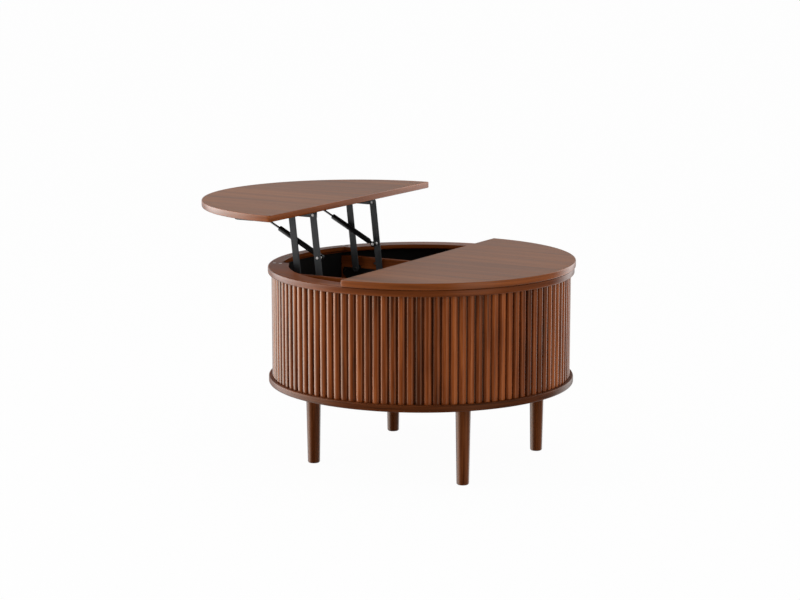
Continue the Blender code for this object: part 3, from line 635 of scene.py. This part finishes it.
def makeStrut(side, sign):
    # Tube: a neck that swells to the barrel, closed round the rod; eye: a ring about the stud
    along = np.array((0, -math.cos(strut["slope"]), math.sin(strut["slope"])))
    stud = mid("strut_stud_" + side)
    place = (mid("strut_tube_" + side)[0], stud[1], stud[2])
    barrel, neck, rod, soft = strut["tube"], strut["neck"], strut["rod"], strut["soft"]
    start, neckEnd, end, steps = strut["start"], strut["neckEnd"], strut["end"], strut["steps"]
    swell = neckEnd + barrel - neck
    radius = np.array([
        0, neck, neck, barrel - soft / 2, barrel, barrel, barrel - soft / 3, barrel - soft, rod, rod, 0,
    ])
    height = np.array([
        start, start, neckEnd, swell, swell + soft, end - soft, end - soft / 3, end, end, end - soft, end - soft,
    ])
    eye, hole, half, edge = strut["eye"], strut["eyeHole"], strut["eyeHalf"], strut["eyeSoft"]
    eyeRadius = np.array([hole, eye - edge, eye, eye, eye - edge, hole, hole])
    eyeHeight = np.array([-half, -half, edge - half, half - edge, half, half, -half])
    grids = [turned(radius, height, steps, place, along), turned(eyeRadius, eyeHeight, steps, place, (1, 0, 0))]
    tube = makePiece(f"strut_tube_{side}_barrel", grids)
    fit(tube, "strut_tubes", blackTube, "black_steel", "strut_tube_" + side)
    # Rod: a plain bar from inside the tube to its end block, whose pin runs through the bracket's slot
    low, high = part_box("strut_rod_" + side)
    tip = (place[0], low.y + pin["block"], high.z - pin["block"])
    rodRadius, rodHeight = np.array([0, rod, rod, 0]), np.array([strut["rodBack"], strut["rodBack"], 0, 0])
    through = high.x - low.x - 2 * half - pinHead
    sections = [("block", 2 * half), ("shank", through), ("cap", pinHead)]
    block = pinGrid(sign, high.x if sign > 0 else -low.x, tip, sections)
    bar = makePiece(f"strut_rod_{side}_bar", [turned(rodRadius, rodHeight, steps, tip, along), block])
    fit(bar, "strut_rods", darkRod, "dark_rod", "strut_rod_" + side)


topPin = [("dome", pinHead), ("shank", None), ("cap", pinHead)]
basePin = [
    ("shank", plateThick + pinGap), ("shoulder", None), ("shank", armThick + 2 * pinGap), ("cap", pinHead),
]
strutStud = [
    ("dome", pinHead), ("shank", armThick + 2 * pinGap), ("collar", None),
    ("shank", 2 * strut["eyeHalf"] + 2 * pinGap), ("cap", pinHead),
]
for side, sign in sides:
    dress(blackSteel, "base_bracket_" + side)
    dress(greySteel, "top_bracket_" + side)
    makeArm("rear", side, "rear_arms")
    makeArm("front", side, "front_arms")
    for which in ("rear", "front"):
        makePin(f"{which}_top_pin_{side}", "lid", litZinc, sign, topPin)
        makePin(f"{which}_base_pin_{side}", "cabinet", shadedZinc, sign, basePin)
    makePin("stop_pin_" + side, "cabinet", shadedZinc, sign, [("shank", None)])
    makePin("strut_stud_" + side, "rear_arms", litZinc, sign, strutStud)
    makeStrut(side, sign)
    dress(zinc, "leg_bolt_front_" + side, "leg_bolt_back_" + side)

screw = {
    "panRadius": (0, 0.0007, 0.0010, 0.0021, 0.0029, 0.0034, 0.0034, 0),
    "panHeight": (0.0016, 0.0016, 0.0019, 0.0017, 0.0011, 0.0003, -0.0004, -0.0004),
    "flatRadius": (0, 0.0008, 0.0011, 0.0032, 0.0037, 0.0037, 0),
    "flatHeight": (-0.0003, -0.0003, 0.00015, 0.00015, 0.00005, -0.0006, -0.0006),
    "steps": 24, "ringX": 0.150, "ringY": (-0.2985, -0.2825),
    "inset": 0.0065, "slope": 0.021, "edge": 0.0085, "lidInset": 0.022,
}


def makeScrews(name, body, finish, head, places, axis):
    # A pan or flat head with a driver recess, turned about the screw's axis
    profile = (np.array(screw[head + "Radius"]), np.array(screw[head + "Height"]))
    fit(makePiece(name, [turned(*profile, screw["steps"], place, axis) for place in places]), body, finish, "zinc")


# Flat heads in the ring, because the lid closes over them
ringSpots = [(sign * screw["ringX"], drumY + y, ringHigh.z) for _, sign in sides for y in screw["ringY"]]
makeScrews("ring_screws", "cabinet", litZinc, "flat", ringSpots, (0, 0, 1))
for side, sign in sides:
    low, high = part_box("base_bracket_" + side)
    face = low.x if sign > 0 else high.x
    inset, slope = screw["inset"], screw["slope"]
    upper, lower = high.z - screw["edge"] - inset, low.z + inset
    boardSpots = [
        (face, low.y + inset, upper), (face, high.y - inset, upper),
        (face, low.y + slope + inset, lower), (face, high.y - slope - inset, lower),
    ]
    makeScrews("board_screws_" + side, "cabinet", shadedZinc, "pan", boardSpots, (-sign, 0, 0))
    low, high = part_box("top_bracket_" + side)
    alongY = (high.y - screw["lidInset"], (low.y + high.y) / 2, low.y + screw["lidInset"])
    lidSpots = [((low.x + high.x) / 2, y, high.z - plateThick) for y in alongY]
    makeScrews("lid_screws_" + side, "lid", zinc, "pan", lidSpots, (0, 0, -1))
print("lift units ready")


# Studio: camera, floor and light

camera = {
    "place": (4.1927, 2.4750, 1.2245), "ahead": (-0.85063, -0.49548, -0.17584), "lens": 97.0, "sensor": 36.0,
}
studio = {
    "floor": 0.80, "floorRough": 0.9, "floorWhite": 0.97, "floorHalf": 30.0, "fill": 0.69, "front": 0.04,
    "strip": 0.8, "behind": 0.66, "beside": 0.28, "left": 5.6, "right": 1.8, "low": 0.62, "aim": (0, 0, 0.35),
}
# Where each panel of the studio begins and ends, as parts of a direction's length
span = {
    "beside": (0.12, 0.42), "behind": (0.2, 0.8), "left": (0.45, 0.9), "strip": (0.3, 0.5),
    "stripDepth": (-0.75, -0.4), "right": (0.3, 0.6), "rightDepth": (0.38, 0.7), "depth": (-0.6, 0.15),
    "rise": (-0.25, 0.02),
}
lamps = {
    "left_panel": {"right": -2.3, "ahead": -0.8, "up": 1.3, "size": (1.6, 1.6), "power": 21.0},
    "right_panel": {"right": 2.4, "ahead": -0.6, "up": 0.9, "size": (1.2, 1.6), "power": 9.5},
    "overhead": {"right": 0.0, "ahead": 0.0, "up": 2.4, "size": (2.4, 2.4), "power": 2.0},
}

ahead = Vector(camera["ahead"])
level = Vector((ahead.x, ahead.y, 0)).normalized()
right = Vector((level.y, -level.x, 0))
shot = bpy.data.cameras.new("photo_view")
shot.sensor_width = camera["sensor"]
shot.lens = camera["lens"]
shotObject = bpy.data.objects.new("photo_view", shot)
shotObject.location = camera["place"]
shotObject.rotation_euler = ahead.to_track_quat("-Z", "Y").to_euler()
bpy.context.scene.collection.objects.link(shotObject)
bpy.context.scene.camera = shotObject
bpy.context.scene.view_settings.view_transform = "Standard"


def lightPath(finish, *kinds):
    outputs = finish.tree.nodes.new("ShaderNodeLightPath").outputs
    return [Value(finish.tree, outputs[f"Is {kind} Ray"]) for kind in kinds]


def makeFloor():
    # To the camera the floor is as white as the backdrop; reflections look past it at the studio
    half = studio["floorHalf"]
    mesh = bpy.data.meshes.new("floor")
    mesh.from_pydata([(-half, -half, 0), (half, -half, 0), (half, half, 0), (-half, half, 0)], [], [(0, 1, 2, 3)])
    floor = bpy.data.objects.new("floor", mesh)
    bpy.context.scene.collection.objects.link(floor)
    finish = Finish("pale_floor")
    finish.surface(baseColor=(studio["floor"], studio["floor"], studio["floor"], 1), roughness=studio["floorRough"])
    finish.shader.inputs["Specular IOR Level"].default_value = 0.0
    cameraSees, glossySees, throughSees = lightPath(finish, "Camera", "Glossy", "Transmission")
    plain = Value(finish.tree, finish.shader.outputs[0])
    white = finish.node("Emission", {}, {"Color": (1, 1, 1, 1), "Strength": 1.0})
    clear = finish.node("BsdfTransparent", {}, {"Color": (1, 1, 1, 1)})
    seen = (cameraSees + throughSees) * studio["floorWhite"]
    shown = finish.node("MixShader", {}, {0: seen, 1: plain, 2: white})
    shown = finish.node("MixShader", {}, {0: glossySees, 1: shown, 2: clear})
    plug(finish.tree, finish.tree.nodes["Material Output"].inputs[0], shown)
    mesh.materials.append(finish.owner)


makeFloor()


def studioLight(finish, place):
    # By direction: dim on the camera's side, plain behind the table, soft panels beside it, the left one bright,
    # and a strip to the right of the camera; what lies below the horizon is dimmer
    way = finish.node("VectorMath", {"operation": "NORMALIZE"}, {0: place}, "Vector")
    depth, side, rise = (finish.dot(way, line) for line in (level, right, (0, 0, 1)))
    aside = side * side
    beside = finish.ramp(aside, span["beside"]) * studio["beside"]
    behind = (1 - finish.ramp(aside, span["behind"])) * studio["behind"]
    leftPanel = finish.ramp(side * -1, span["left"]) * studio["left"]
    strip = finish.ramp(side, span["strip"]) * (1 - finish.ramp(depth, span["stripDepth"])) * studio["strip"]
    rightPanel = finish.ramp(side, span["right"]) * finish.ramp(depth, span["rightDepth"]) * studio["right"]
    panels = beside + strip + rightPanel + finish.ramp(depth, span["depth"]) * (behind + leftPanel)
    return panels * finish.ramp(rise, span["rise"], (studio["low"], 1.0)) + studio["front"]


# The backdrop is white to the camera too; reflections see the panels, and its fill lights the table evenly
bpy.context.scene.world = bpy.data.worlds.new("studio")
sky = Finish("studio", bpy.context.scene.world)
panels = studioLight(sky, sky.node("TexCoord", {}, {}, "Generated"))
cameraRay, glossyRay = lightPath(sky, "Camera", "Glossy")
strength = cameraRay + (1 - cameraRay) * (glossyRay * panels + (1 - glossyRay) * studio["fill"])
plug(sky.tree, sky.tree.nodes["Background"].inputs[0], strength)
sky.tree.nodes["Background"].inputs[1].default_value = 1.0

aim = Vector(studio["aim"])
for name, lamp in lamps.items():
    light = bpy.data.lights.new(name, "AREA")
    light.shape = "RECTANGLE"
    light.size, light.size_y = lamp["size"]
    light.energy = lamp["power"]
    offset = right * lamp["right"] + level * lamp["ahead"] + Vector((0, 0, lamp["up"]))
    lightObject = bpy.data.objects.new(name, light)
    lightObject.location = aim + offset
    lightObject.rotation_euler = (-offset).to_track_quat("-Z", "Y").to_euler()
    lightObject.visible_glossy = False
    bpy.context.scene.collection.objects.link(lightObject)
print("studio ready")
